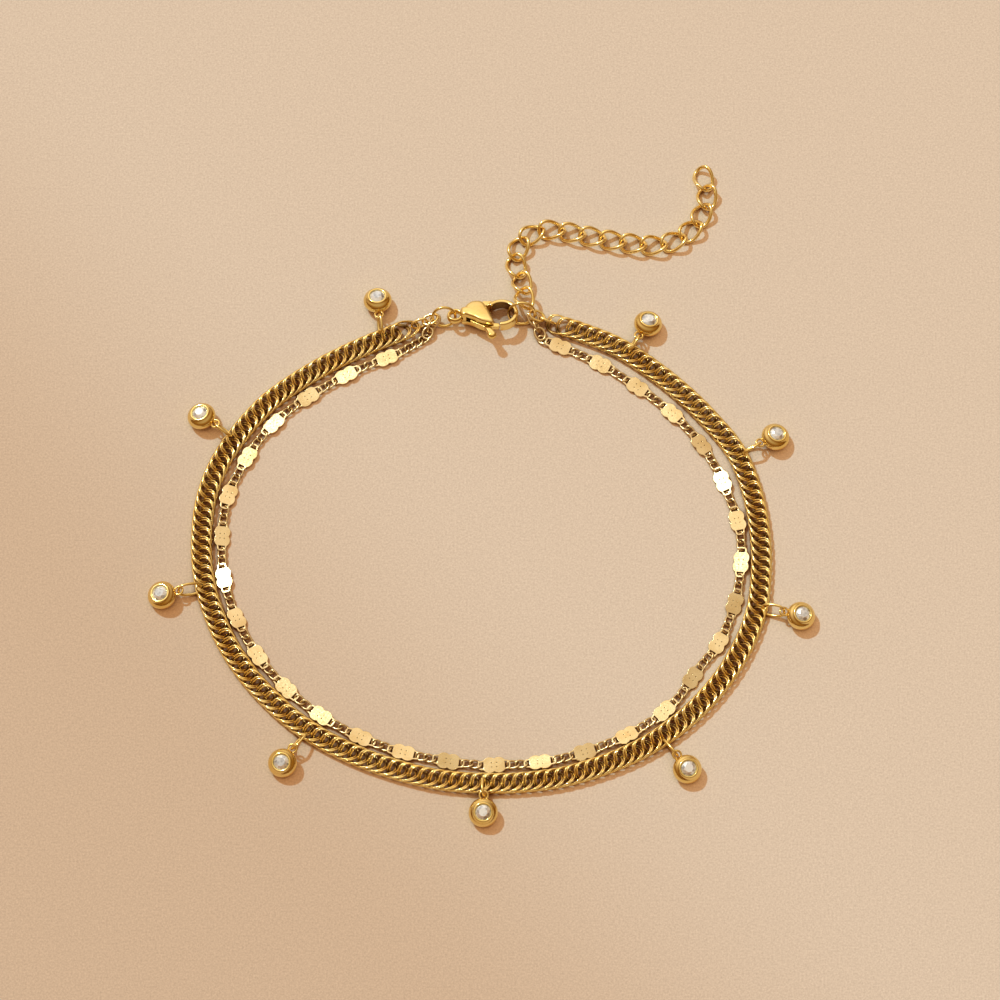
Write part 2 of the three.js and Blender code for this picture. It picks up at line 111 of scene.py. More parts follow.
# A centripetal Catmull-Rom curve through the points, ending at the first and last of them.
def smoothRoute(points, perSpan):
    knots = [Vector(p) for p in points]
    knots = [2 * knots[0] - knots[1], *knots, 2 * knots[-1] - knots[-2]]
    route = []
    for i in range(len(knots) - 3):
        p0, p1, p2, p3 = knots[i:i + 4]
        d0 = (p1 - p0).length ** 0.5
        d1 = (p2 - p1).length ** 0.5
        d2 = (p3 - p2).length ** 0.5
        start = ((p1 - p0) / d0 - (p2 - p0) / (d0 + d1) + (p2 - p1) / d1) * d1
        end = ((p2 - p1) / d1 - (p3 - p1) / (d1 + d2) + (p3 - p2) / d2) * d1
        for k in range(perSpan):
            u = k / perSpan
            c2 = 3 * (p2 - p1) - 2 * start - end
            c3 = 2 * (p1 - p2) + start + end
            route.append(p1 + u * start + u * u * c2 + u ** 3 * c3)
    route.append(knots[-2])
    return route


def routeLength(route):
    return sum((b - a).length for a, b in zip(route, route[1:]))


# Where the route is, and which way it runs, at a distance from its start.
def routeAt(route, distance):
    run = 0.0
    for a, b in zip(route, route[1:]):
        step = (b - a).length
        if run + step >= distance or b is route[-1]:
            return a.lerp(b, (distance - run) / step), (b - a).normalized()
        run += step


# A matrix whose X axis points along a direction, with Y level, turned by roll degrees about X.
def frameAlong(origin, direction, roll=0.0):
    along = direction.normalized()
    level = up.cross(along).normalized()
    above = along.cross(level)
    turned = Matrix((along, level, above)).transposed().to_4x4()
    turned = turned @ Matrix.Rotation(math.radians(roll), 4, "X")
    turned.translation = origin
    return turned


mainHeight = 0.575
perSpan = 16
mainRoute = smoothRoute([(x, y, mainHeight) for x, y, inset in loopRoute], perSpan)
mainLength = routeLength(mainRoute)


def plateRoutePoints():
    height = 0.36
    points = [Vector((-6.9, 20.6, height))]
    for i, (x, y, inset) in enumerate(loopRoute[1:-1], start=1):
        tangent = mainRoute[i * perSpan + 1] - mainRoute[i * perSpan - 1]
        inward = Vector((-tangent.y, tangent.x, 0.0)).normalized()
        points.append(Vector((x, y, height)) + inward * inset)
    points.append(Vector((7.6, 20.4, height)))
    return smoothRoute(points, perSpan)


plateRoute = plateRoutePoints()
print("routes: main", round(mainLength, 1), "mm, plates", round(routeLength(plateRoute), 1), "mm")


# Materials

def newMaterial(name):
    material = bpy.data.materials.new(name)
    material.use_nodes = True
    nodes = material.node_tree.nodes
    return material, nodes, material.node_tree.links, nodes["Principled BSDF"]


# Replaces a ramp's two stops with these, each a position and a colour.
def setStops(ramp, stops):
    ramp.elements.remove(ramp.elements[-1])
    for i, (position, colour) in enumerate(stops):
        stop = ramp.elements[0] if i == 0 else ramp.elements.new(position)
        stop.position = position
        stop.color = (*colour, 1.0)


goldLook = {  # grain sizes are how many marks there are in a metre
    "chainGold": {"bright": (1.0, 0.79, 0.34), "deep": (0.97, 0.68, 0.21), "roughness": 0.15,
                  "marks": 0.04, "grainSize": 3000.0, "grainDepth": 0.08},
    "castGold": {"bright": (0.91, 0.69, 0.27), "deep": (0.84, 0.58, 0.16), "roughness": 0.17,
                 "marks": 0.05, "grainSize": 2200.0, "grainDepth": 0.12},
    "plateGold": {"bright": (0.80, 0.62, 0.33), "deep": (0.67, 0.47, 0.21), "roughness": 0.24,
                  "marks": 0.06, "grainSize": 5200.0, "grainDepth": 0.3},
}
# The first entry is the dark brown of the painted shade that is mixed into the gold where wires lie deep
# in a chain.
goldShared = {"crevice": (0.09, 0.02, 0.002), "driftSize": 420.0, "grainHeight": 0.00002}
stoneLook = {
    "dark": (0.26, 0.31, 0.35),
    "bright": (0.78, 0.95, 1.0),
    "glintSize": 2600.0,
    "glintShare": 0.35,
    "metallic": 0.6,
    "roughness": 0.06,
    "refraction": 2.1,
    "coat": 0.6,
}


# Plated gold: the colour drifts a little, fine polishing marks break up the reflections, and painted
# shade, read from a mask on the mesh, darkens the wires deep inside a chain, which see only other wires.
def goldMaterial(name):
    look = goldLook[name]
    material, nodes, links, shader = newMaterial(name)
    shader.inputs["Metallic"].default_value = 1.0
    place = nodes.new("ShaderNodeTexCoord")
    drift = nodes.new("ShaderNodeTexNoise")
    drift.inputs["Scale"].default_value = goldShared["driftSize"]
    drift.inputs["Detail"].default_value = 3.0
    links.new(place.outputs["Object"], drift.inputs["Vector"])
    colours = nodes.new("ShaderNodeValToRGB")
    setStops(colours.color_ramp, [(0.3, look["deep"]), (0.62, look["bright"])])
    links.new(drift.outputs["Fac"], colours.inputs["Fac"])
    # Painted shade: a mask stored on the mesh mixes the gold towards dark brown in the chains' hollows
    # and inside the hook.
    paintedShadeMask = nodes.new("ShaderNodeAttribute")
    paintedShadeMask.attribute_name = "crevice"
    paintShade = nodes.new("ShaderNodeMix")
    paintShade.data_type = "RGBA"
    paintShade.inputs["B"].default_value = (*goldShared["crevice"], 1.0)
    links.new(paintedShadeMask.outputs["Fac"], paintShade.inputs["Factor"])
    links.new(colours.outputs["Color"], paintShade.inputs["A"])
    links.new(paintShade.outputs["Result"], shader.inputs["Base Color"])
    fine = nodes.new("ShaderNodeTexNoise")
    fine.inputs["Scale"].default_value = look["grainSize"]
    fine.inputs["Detail"].default_value = 4.0
    links.new(place.outputs["Object"], fine.inputs["Vector"])
    rough = nodes.new("ShaderNodeMapRange")
    rough.inputs["From Min"].default_value = 0.35
    rough.inputs["From Max"].default_value = 0.65
    rough.inputs["To Min"].default_value = look["roughness"] - look["marks"]
    rough.inputs["To Max"].default_value = look["roughness"] + look["marks"]
    links.new(fine.outputs["Fac"], rough.inputs["Value"])
    links.new(rough.outputs["Result"], shader.inputs["Roughness"])
    bump = nodes.new("ShaderNodeBump")
    bump.inputs["Strength"].default_value = look["grainDepth"]
    bump.inputs["Distance"].default_value = goldShared["grainHeight"]
    links.new(fine.outputs["Fac"], bump.inputs["Height"])
    links.new(bump.outputs["Normal"], shader.inputs["Normal"])
    return material


# A cut stone: each facet gets its own painted brightness, with painted glints, standing in for the light
# that comes back out of it; the facets also reflect the room.
def stoneMaterial():
    material, nodes, links, shader = newMaterial("clearStone")
    tone = nodes.new("ShaderNodeAttribute")
    tone.attribute_name = "paintedFacetLight"
    place = nodes.new("ShaderNodeTexCoord")
    glints = nodes.new("ShaderNodeTexVoronoi")
    glints.inputs["Scale"].default_value = stoneLook["glintSize"]
    links.new(place.outputs["Object"], glints.inputs["Vector"])
    ramp = nodes.new("ShaderNodeValToRGB")
    setStops(ramp.color_ramp, [(0.1, stoneLook["dark"]), (0.6, stoneLook["bright"])])
    mix = nodes.new("ShaderNodeMix")
    mix.data_type = "FLOAT"
    mix.inputs["Factor"].default_value = stoneLook["glintShare"]
    links.new(tone.outputs["Fac"], mix.inputs["A"])
    links.new(glints.outputs["Distance"], mix.inputs["B"])
    links.new(mix.outputs["Result"], ramp.inputs["Fac"])
    links.new(ramp.outputs["Color"], shader.inputs["Base Color"])
    shader.inputs["Metallic"].default_value = stoneLook["metallic"]
    shader.inputs["Roughness"].default_value = stoneLook["roughness"]
    shader.inputs["IOR"].default_value = stoneLook["refraction"]
    shader.inputs["Coat Weight"].default_value = stoneLook["coat"]
    return material


chainGold, castGold, plateGold = (goldMaterial(name) for name in goldLook)
clearStone = stoneMaterial()
print("materials made")


# Geometry Nodes

def newTree(name, sockets):
    tree = bpy.data.node_groups.new(name, "GeometryNodeTree")
    tree.interface.new_socket("Geometry", in_out="OUTPUT", socket_type="NodeSocketGeometry")
    for label, kind, value in sockets:
        socket = tree.interface.new_socket(label, in_out="INPUT", socket_type=kind)
        if value is not None:
            socket.default_value = value
    return tree, tree.nodes.new("NodeGroupInput"), tree.nodes.new("NodeGroupOutput")


# Adds a node, sets its properties, and links or sets its inputs, named or numbered.
def addNode(tree, kind, inputs=None, **properties):
    node = tree.nodes.new(kind)
    for label, value in properties.items():
        setattr(node, label, value)
    for label, value in (inputs or {}).items():
        if isinstance(value, bpy.types.NodeSocket):
            tree.links.new(value, node.inputs[label])
        else:
            node.inputs[label].default_value = value
    return node


def maths(tree, operation, a, b=0.0):
    return addNode(tree, "ShaderNodeMath", {0: a, 1: b}, operation=operation).outputs[0]


linkSizes = [
    ("Half Length", "NodeSocketFloat", 1.0),
    ("Half Width", "NodeSocketFloat", 1.0),
    ("Twist", "NodeSocketFloat", 0.0),
    ("Fullness", "NodeSocketFloat", 1.0),
    ("Wire", "NodeSocketFloat", 0.3),
    ("Depth", "NodeSocketFloat", 0.0),
    ("Around", "NodeSocketInt", 18),
    ("Sides", "NodeSocketInt", 6),
]


# A value from -1 to 1, pushed outward where the power is under 1, so that an oval gets fuller ends.
def fuller(tree, value, power):
    size = maths(tree, "POWER", maths(tree, "ABSOLUTE", value), power)
    return maths(tree, "MULTIPLY", maths(tree, "SIGN", value), size)


# One closed link: an oval wire, twisted so that it lies flat beside its neighbours.
def buildLinkTree():
    tree, given, out = newTree("chainLink", linkSizes)
    circle = addNode(
        tree, "GeometryNodeCurvePrimitiveCircle", {"Resolution": given.outputs["Around"], "Radius": 1.0})
    place = addNode(tree, "GeometryNodeInputPosition")
    xyz = addNode(tree, "ShaderNodeSeparateXYZ", {"Vector": place.outputs[0]})
    fullX = fuller(tree, xyz.outputs["X"], given.outputs["Fullness"])
    fullY = fuller(tree, xyz.outputs["Y"], given.outputs["Fullness"])
    x = maths(tree, "MULTIPLY", fullX, given.outputs["Half Length"])
    y = maths(tree, "MULTIPLY", fullY, given.outputs["Half Width"])
    swing = maths(tree, "MULTIPLY", maths(tree, "MULTIPLY", xyz.outputs["X"], xyz.outputs["Y"]), 2.0)
    z = maths(tree, "MULTIPLY", maths(tree, "MULTIPLY", swing, given.outputs["Twist"]), -1.0)
    point = addNode(tree, "ShaderNodeCombineXYZ", {"X": x, "Y": y, "Z": z})
    # Painted shade: the link's low parts, away from its sides, where it lies under its neighbours, are
    # stored as a mask that darkens the gold.
    towardsSide = maths(tree, "POWER", maths(tree, "ABSOLUTE", xyz.outputs["Y"]), 4.0)
    inside = maths(tree, "SUBTRACT", 1.0, towardsSide)
    low = addNode(
        tree, "ShaderNodeMath", {0: swing, 1: 1.3, 2: 0.1}, operation="MULTIPLY_ADD", use_clamp=True)
    lowInside = maths(tree, "MULTIPLY", low.outputs[0], inside)
    deep = maths(tree, "MULTIPLY", lowInside, given.outputs["Depth"])
    marked = addNode(
        tree, "GeometryNodeStoreNamedAttribute",
        {"Geometry": circle.outputs["Curve"], "Name": "crevice", "Value": deep},
        data_type="FLOAT", domain="POINT")
    oval = addNode(
        tree, "GeometryNodeSetPosition",
        {"Geometry": marked.outputs["Geometry"], "Position": point.outputs[0]})
    radius = maths(tree, "MULTIPLY", given.outputs["Wire"], 0.5)
    section = addNode(
        tree, "GeometryNodeCurvePrimitiveCircle",
        {"Resolution": given.outputs["Sides"], "Radius": radius})
    wire = addNode(
        tree, "GeometryNodeCurveToMesh",
        {"Curve": oval.outputs[0], "Profile Curve": section.outputs["Curve"]})
    tree.links.new(wire.outputs["Mesh"], out.inputs[0])
    return tree


rowSizes = [
    ("Route", "NodeSocketGeometry", None),
    ("Count", "NodeSocketInt", 10),
    ("First", "NodeSocketFloat", 0.0),
    ("Pitch", "NodeSocketFloat", 0.0),
    ("Per Group", "NodeSocketInt", 1),
    ("Group Pitch", "NodeSocketFloat", 1.0),
    ("Wobble", "NodeSocketVector", (0.0, 0.0, 0.0)),
    ("Seed", "NodeSocketInt", 1),
    ("Material", "NodeSocketMaterial", None),
]


# Copies of a shape in groups along a route of joined points, each turned a little at random.
def placeAlong(tree, given, out, shape):
    index = addNode(tree, "GeometryNodeInputIndex").outputs[0]
    group = maths(tree, "FLOOR", maths(tree, "DIVIDE", index, given.outputs["Per Group"]))
    inGroup = maths(tree, "MODULO", index, given.outputs["Per Group"])
    within = maths(tree, "MULTIPLY", inGroup, given.outputs["Pitch"])
    before = maths(tree, "MULTIPLY", group, given.outputs["Group Pitch"])
    reach = maths(tree, "ADD", given.outputs["First"], maths(tree, "ADD", within, before))
    points = addNode(tree, "GeometryNodePoints", {"Count": given.outputs["Count"]})
    curve = addNode(tree, "GeometryNodeMeshToCurve", {"Mesh": given.outputs["Route"]})
    sample = addNode(
        tree, "GeometryNodeSampleCurve", {"Curves": curve.outputs[0], "Length": reach}, mode="LENGTH")
    placed = addNode(
        tree, "GeometryNodeSetPosition",
        {"Geometry": points.outputs[0], "Position": sample.outputs["Position"]})
    along = addNode(
        tree, "FunctionNodeAlignRotationToVector", {"Vector": sample.outputs["Tangent"]}, axis="X")
    level = addNode(
        tree, "FunctionNodeAlignRotationToVector",
        {"Rotation": along.outputs[0], "Vector": (0.0, 0.0, 1.0)}, axis="Z", pivot_axis="X")
    sway = addNode(
        tree, "FunctionNodeRandomValue",
        {0: (-1.0, -1.0, -1.0), 1: (1.0, 1.0, 1.0), "ID": index, "Seed": given.outputs["Seed"]},
        data_type="FLOAT_VECTOR")
    scaled = addNode(
        tree, "ShaderNodeVectorMath", {0: sway.outputs[0], 1: given.outputs["Wobble"]},
        operation="MULTIPLY")
    turn = addNode(tree, "FunctionNodeEulerToRotation", {"Euler": scaled.outputs["Vector"]})
    rotated = addNode(
        tree, "FunctionNodeRotateRotation",
        {"Rotation": level.outputs[0], "Rotate By": turn.outputs[0]}, rotation_space="LOCAL")
    copies = addNode(
        tree, "GeometryNodeInstanceOnPoints",
        {"Points": placed.outputs[0], "Instance": shape, "Rotation": rotated.outputs[0]})
    real = addNode(tree, "GeometryNodeRealizeInstances", {"Geometry": copies.outputs[0]})
    finished = addNode(
        tree, "GeometryNodeSetMaterial",
        {"Geometry": real.outputs[0], "Material": given.outputs["Material"]})
    tree.links.new(finished.outputs[0], out.inputs[0])


# A row of links. A pair gap above zero doubles each link.
def buildChainTree(linkTree):
    sockets = [*rowSizes, *linkSizes, ("Pair Gap", "NodeSocketFloat", 0.0)]
    tree, given, out = newTree("linkChain", sockets)
    link = addNode(tree, "GeometryNodeGroup", node_tree=linkTree)
    for label, kind, value in linkSizes:
        tree.links.new(given.outputs[label], link.inputs[label])
    half = maths(tree, "MULTIPLY", given.outputs["Pair Gap"], 0.5)
    ahead = addNode(tree, "ShaderNodeCombineXYZ", {"X": half})
    behind = addNode(tree, "ShaderNodeCombineXYZ", {"X": maths(tree, "MULTIPLY", half, -1.0)})
    one, two = (
        addNode(
            tree, "GeometryNodeTransform",
            {"Geometry": link.outputs[0], "Translation": shift.outputs[0]})
        for shift in (ahead, behind))
    both = addNode(tree, "GeometryNodeJoinGeometry", {"Geometry": one.outputs[0]})
    tree.links.new(two.outputs[0], both.inputs["Geometry"])
    isPair = addNode(
        tree, "FunctionNodeCompare", {0: given.outputs["Pair Gap"], 1: 0.0},
        data_type="FLOAT", operation="GREATER_THAN")
    shape = addNode(
        tree, "GeometryNodeSwitch",
        {"Switch": isPair.outputs[0], "False": link.outputs[0], "True": both.outputs[0]},
        input_type="GEOMETRY")
    smooth = addNode(tree, "GeometryNodeSetShadeSmooth", {"Geometry": shape.outputs[0]})
    placeAlong(tree, given, out, smooth.outputs[0])
    return tree


# A row of plates, each a copy of one made plate.
def buildPlateTree():
    tree, given, out = newTree("plateRow", [*rowSizes, ("Plate", "NodeSocketObject", None)])
    plate = addNode(tree, "GeometryNodeObjectInfo", {"Object": given.outputs["Plate"]})
    placeAlong(tree, given, out, plate.outputs["Geometry"])
    return tree


# Runs a tree on a line of joined points and returns the result as a plain mesh.
def meshFromTree(name, tree, route, values):
    line = bpy.data.meshes.new(name + "Route")
    line.from_pydata([tuple(p) for p in route], [(i, i + 1) for i in range(len(route) - 1)], [])
    carrier = addObject(name + "Route", line)
    modifier = carrier.modifiers.new("nodes", "NODES")
    modifier.node_group = tree
    for item in tree.interface.items_tree:
        if item.in_out == "INPUT" and item.name in values:
            modifier[item.identifier] = values[item.name]
    mesh = evaluatedMesh(carrier)
    mesh.name = name
    bpy.data.objects.remove(carrier)
    bpy.data.meshes.remove(line)
    return mesh


def joinMeshes(name, meshes):
    joined = bmesh.new()
    for mesh in meshes:
        joined.from_mesh(mesh)
        bpy.data.meshes.remove(mesh)
    result = bpy.data.meshes.new(name)
    joined.to_mesh(result)
    joined.free()
    return result


# The same link, made once between two points, for jump rings and end links.
def wireLoop(halfLength, halfWidth, wire, around, sides, squareness=2.0, twist=0.0):
    def full(value):
        return math.copysign(abs(value) ** (2.0 / squareness), value)

    def centre(u):
        x = halfLength * full(math.cos(u))
        y = halfWidth * full(math.sin(u))
        return Vector((x, y, -twist * math.sin(2 * u)))

    verts, faces = [], []
    for i in range(around):
        u = 2 * math.pi * (i + 0.5) / around
        tangent = (centre(u + 1e-4) - centre(u - 1e-4)).normalized()
        outward = centre(u) - centre(u + math.pi)
        outward = (outward - outward.dot(tangent) * tangent).normalized()
        side = outward.cross(tangent)
        for k in range(sides):
            turn = 2 * math.pi * k / sides
            verts.append(centre(u) + wire / 2 * (math.cos(turn) * outward + math.sin(turn) * side))
            a, b = i * sides + k, i * sides + (k + 1) % sides
            c, d = (b + sides) % (around * sides), (a + sides) % (around * sides)
            faces.append((a, d, c, b))
    return meshFrom("wire", verts, faces)


linkTree = buildLinkTree()
chainTree = buildChainTree(linkTree)
plateTree = buildPlateTree()
print("node trees made")


# Main chain

mainChain = {
    "links": 147,
    "first": 1.2,
    "halfLength": 1.72,
    "halfWidth": 1.2,
    "twist": 0.45,
    "fullness": 0.92,
    "wire": 0.245,
    "pairGap": 0.275,
    # how strongly painted shade darkens the links' low inner parts
    "depth": 0.9,
    "wobble": (0.02, 0.01, 0.02),
}
endLinks = {"halfWidth": 0.6, "wire": 0.34, "bite": 0.5}


# A short run of joined links between two points, each turned against the one before.
def linksBetween(start, end, count):
    start, end = Vector(start), Vector(end)
    span = (end - start).length
    bite = endLinks["bite"]
    half = (span + bite * (count - 1)) / count / 2
    made = []
    for k in range(count):
        mesh = wireLoop(half, endLinks["halfWidth"], endLinks["wire"], 32, 10, 2.3)
        middle = start.lerp(end, (half + k * (2 * half - bite)) / span)
        mesh.transform(frameAlong(middle, end - start, 62 * ((count - 1 - k) % 2)))
        made.append(mesh)
    return made


def makeMainChain():
    pitch = (mainLength - 2 * mainChain["first"]) / (mainChain["links"] - 1)
    links = meshFromTree("mainChain", chainTree, mainRoute, {
        "Count": mainChain["links"],
        "First": mainChain["first"],
        "Group Pitch": pitch,
        "Pair Gap": mainChain["pairGap"],
        "Wobble": mainChain["wobble"],
        "Seed": 4,
        "Half Length": mainChain["halfLength"],
        "Half Width": mainChain["halfWidth"],
        "Twist": mainChain["twist"],
        "Fullness": mainChain["fullness"],
        "Wire": mainChain["wire"],
        "Depth": mainChain["depth"],
        "Around": 16,
        "Sides": 5,
        "Material": chainGold,
    })
    atClasp = linksBetween((-8.5, 22.05, 0.68), (-5.4, 23.08, 1.5), 2)
    atEndRing = linksBetween((9.1, 22.5, 0.68), (6.05, 23.5, 1.7), 2)
    chain = addObject("mainChain", joinMeshes("mainChain", [links, *atClasp, *atEndRing]))
    finishPiece(chain, "root", "main_chain_gold", ["main_chain"], chainGold)


makeMainChain()
print("main chain made")


# Plate chain

plateChain = {
    "plates": 31,
    "first": 5.4,
    "spacing": 5.5,
    "halfLength": 1.98,
    "lobeHalfWidth": 0.98,
    "lobeLength": 0.95,
    "lobeShift": 0.55,
    "earHalfWidth": 0.64,
    "earEndHalfWidth": 0.5,
    "thickness": 0.2,
    "edge": 0.035,
    "wobble": (0.19, 0.08, 0.05),
    "linksBetween": 2,
    "linkPitch": 1.0,
    "linkHalfLength": 0.72,
    "linkHalfWidth": 0.46,
    "linkTwist": 0.145,
    "linkWire": 0.27,
    "linkWobble": (0.10, 0.03, 0.05),
    "linkReach": 0.27,  # from a plate's end to the middle of the link in its ear
}
dots = {"along": 0.3, "across": 0.26, "radius": 0.05, "turns": [math.pi * k / 4 for k in range(8)]}
earHole = {"near": 1.28, "far": 1.75, "nearHalf": 0.42, "farHalf": 0.31}


# Half the plate's width at x: two lobes side by side, and a tapering ear at each end.
def plateHalfWidth(x):
    fromLobe = (abs(x) - plateChain["lobeShift"]) / plateChain["lobeLength"]
    lobe = plateChain["lobeHalfWidth"] * math.sqrt(max(0.0, 1.0 - fromLobe ** 2))
    toEnd = min(1.0, (plateChain["halfLength"] - abs(x)) / 0.22)
    taper = min(1.0, max(0.0, (abs(x) - 1.0) / (plateChain["halfLength"] - 1.0)))
    root, end = plateChain["earHalfWidth"], plateChain["earEndHalfWidth"]
    widest = root + (end - root) * taper
    ear = widest * math.sqrt(max(0.0, 1.0 - (1.0 - toEnd) ** 2))
    return max(lobe, ear)


# A plate cut from sheet: its outline, the hole in each ear and the punched dots, all with broken edges.
def makePlate():
    curve = bpy.data.curves.new("plate", "CURVE")
    curve.dimensions = "2D"
    curve.fill_mode = "BOTH"
    curve.extrude = plateChain["thickness"] / 2 - plateChain["edge"]
    curve.bevel_depth = plateChain["edge"]
    curve.offset = -plateChain["edge"]
    curve.bevel_resolution = 1
    steps = 22
    xs = [plateChain["halfLength"] * math.sin(math.pi * (k / steps - 0.5)) for k in range(1, steps)]
    outline = [(plateChain["halfLength"], 0.0)]
    outline += [(x, plateHalfWidth(x)) for x in reversed(xs)]
    outline += [(-plateChain["halfLength"], 0.0)]
    outline += [(x, -plateHalfWidth(x)) for x in xs]
    shapes = [outline]
    hole = [
        (earHole["far"], earHole["farHalf"]), (earHole["far"], -earHole["farHalf"]),
        (earHole["near"], -earHole["nearHalf"]), (earHole["near"], earHole["nearHalf"]),
    ]
    dot = [(dots["radius"] * math.cos(t), dots["radius"] * math.sin(t)) for t in dots["turns"]]
    for side in (1, -1):
        shapes.append([(side * x, y) for x, y in hole])
        for across in (dots["across"], -dots["across"]):
            shapes.append([(side * dots["along"] + x, across + y) for x, y in dot])
    for shape in shapes:
        spline = curve.splines.new("POLY")
        spline.points.add(len(shape) - 1)
        for point, (x, y) in zip(spline.points, shape):
            point.co = (x, y, 0.0, 1.0)
        spline.use_cyclic_u = True
    carrier = addObject("plateCurve", curve)
    mesh = evaluatedMesh(carrier)
    bpy.data.objects.remove(carrier)
    return addObject("plate", cleanShell(mesh, 0.002))


def plateLinks(name, seed, count, first, groupPitch):
    return meshFromTree(name, chainTree, plateRoute, {
        "Count": count,
        "First": first,
        "Pitch": plateChain["linkPitch"],
        "Per Group": plateChain["linksBetween"],
        "Group Pitch": groupPitch,
        "Wobble": plateChain["linkWobble"],
        "Seed": seed,
        "Half Length": plateChain["linkHalfLength"],
        "Half Width": plateChain["linkHalfWidth"],
        "Twist": plateChain["linkTwist"],
        "Fullness": 0.9,
        "Wire": plateChain["linkWire"],
        # how strongly painted shade darkens the links' low inner parts
        "Depth": 0.5,
        "Around": 14,
        "Sides": 6,
        "Material": chainGold,
    })


def makePlateChain():
    plate = makePlate()
    plates = meshFromTree("plates", plateTree, plateRoute, {
        "Count": plateChain["plates"],
        "First": plateChain["first"],
        "Group Pitch": plateChain["spacing"],
        "Wobble": plateChain["wobble"],
        "Seed": 11,
        "Plate": plate,
        "Material": plateGold,
    })
    bpy.data.objects.remove(plate)
    perGroup, pitch = plateChain["linksBetween"], plateChain["linkPitch"]
    toGroup = plateChain["spacing"] / 2 + pitch * (perGroup - 1) / 2
    count, start = plateChain["plates"] * perGroup, plateChain["first"] - toGroup
    links = plateLinks("plateLinks", 7, count, start, plateChain["spacing"])
    before = plateLinks("leadLinks", 8, perGroup, start - pitch * perGroup, 0.0)
    last = plateChain["first"] + (plateChain["plates"] - 1) * plateChain["spacing"]
    last += plateChain["halfLength"]
    left = int((routeLength(plateRoute) - last - 0.1) / pitch) + 1
    after = plateLinks("tailLinks", 9, left, last + plateChain["linkReach"], pitch * perGroup)
    atClasp = linksBetween((-6.9, 20.6, 0.4), (-5.4, 23.45, 1.15), 3)
    atEndRing = linksBetween((7.6, 20.4, 0.4), (6.15, 23.8, 1.12), 3)
    wires = [links, before, after, *atClasp, *atEndRing]
    for mesh in wires:
        for polygon in mesh.polygons:
            polygon.material_index = 1
    chain = addObject("plateChain", joinMeshes("plateChain", [plates, *wires]))
    finishPiece(chain, "root", "plate_chain_gold", ["plate_chain"], plateGold, chainGold)


makePlateChain()
print("plate chain made")


# Charms

charm = {
    "radius": 1.75,
    "height": 1.85,
    "rimRadius": 1.2,
    "seatRadius": 0.94,
    "eyeDistance": 2.1,
    "eyeRadius": 0.5,
    "eyeWire": 0.26,
    "eyeDrop": 0.3,
}
stone = {"radius": 0.93, "tableRadius": 0.52, "crown": 0.34, "pavilion": 0.72, "girdle": 1.7}
charmRing = {"halfWidth": 0.86, "wire": 0.34, "rootHeight": 0.75, "squareness": 2.6}

charms = [  # share of the main chain, reach outside it, lean along it, tilt, turn of the ring
    (0.024, 5.1, -18, 15, 12),
    (0.1455, 5.05, 0, 16, -26),
    (0.2555, 5.4, 0, 15, 26),
    (0.3785, 5.3, 0, 16, -24),
    (0.499, 3.95, 0, 16, 15),
    (0.619, 5.3, 0, 16, 12),
    (0.7305, 5.4, 0, 15, -26),
    (0.841, 5.15, 0, 15, 24),
    (0.945, 4.5, 0, 15, 20),
]


# Where a charm's bezel and the two ends of its ring are.
def charmPlaces(share, reach, lean, tilt):
    middle, tangent = routeAt(mainRoute, share * mainLength)
    outward = Vector((tangent.y, -tangent.x, 0.0)).normalized()
    outward.rotate(Quaternion(up, math.radians(lean)))
    cos, sin = math.cos(math.radians(tilt)), math.sin(math.radians(tilt))
    rounding = charm["height"] / 2
    centre = middle + outward * reach
    centre.z = (charm["radius"] - rounding) * sin + rounding + 0.05
    eyeReach = charm["eyeDistance"] * cos + charm["eyeDrop"] * sin
    eye = centre - outward * eyeReach
    eye.z += charm["eyeDistance"] * sin - charm["eyeDrop"] * cos
    root = middle + outward * min(0.62, reach - eyeReach - 2.25)
    root.z = charmRing["rootHeight"]
    lifted = -outward * cos + up * sin
    return frameAlong(centre, lifted), root, eye


def turned(name, profile, around):
    verts, faces = [], []
    rows = len(profile)
    for i in range(around):
        turn = 2 * math.pi * i / around
        for radius, z in profile:
            verts.append((radius * math.cos(turn), radius * math.sin(turn), z))
    for i in range(around):
        nextRow = ((i + 1) % around) * rows
        for k in range(rows - 1):
            faces.append((i * rows + k, nextRow + k, nextRow + k + 1, i * rows + k + 1))
    return cleanShell(meshFrom(name, verts, faces), 0.0001)


# The bezel's section: a rounded cushion, a groove, a thin raised lip round the stone and its seat.
def bezelProfile():
    radius, height = charm["radius"], charm["height"]
    profile = [(0.0, -height / 2), (radius * 0.55, -height / 2)]
    cushion = 0.55 * radius
    for k in range(13):
        turn = math.radians(-90 + k * 13.0)
        lean = math.cos(turn)
        profile.append((radius - cushion * (1 - lean) * 0.82, -0.06 + (height * 0.47) * math.sin(turn)))
    rim, seat = charm["rimRadius"], charm["seatRadius"]
    top = height / 2
    profile += [
        (rim + 0.02, top - 0.1),
        (rim - 0.02, top - 0.03),
        (rim - 0.08, top),
        (seat + 0.06, top),
        (seat, top - 0.05),
        (seat - 0.02, top - 0.32),
        (seat * 0.3, -0.1),
        (0.0, -0.12),
    ]
    return profile


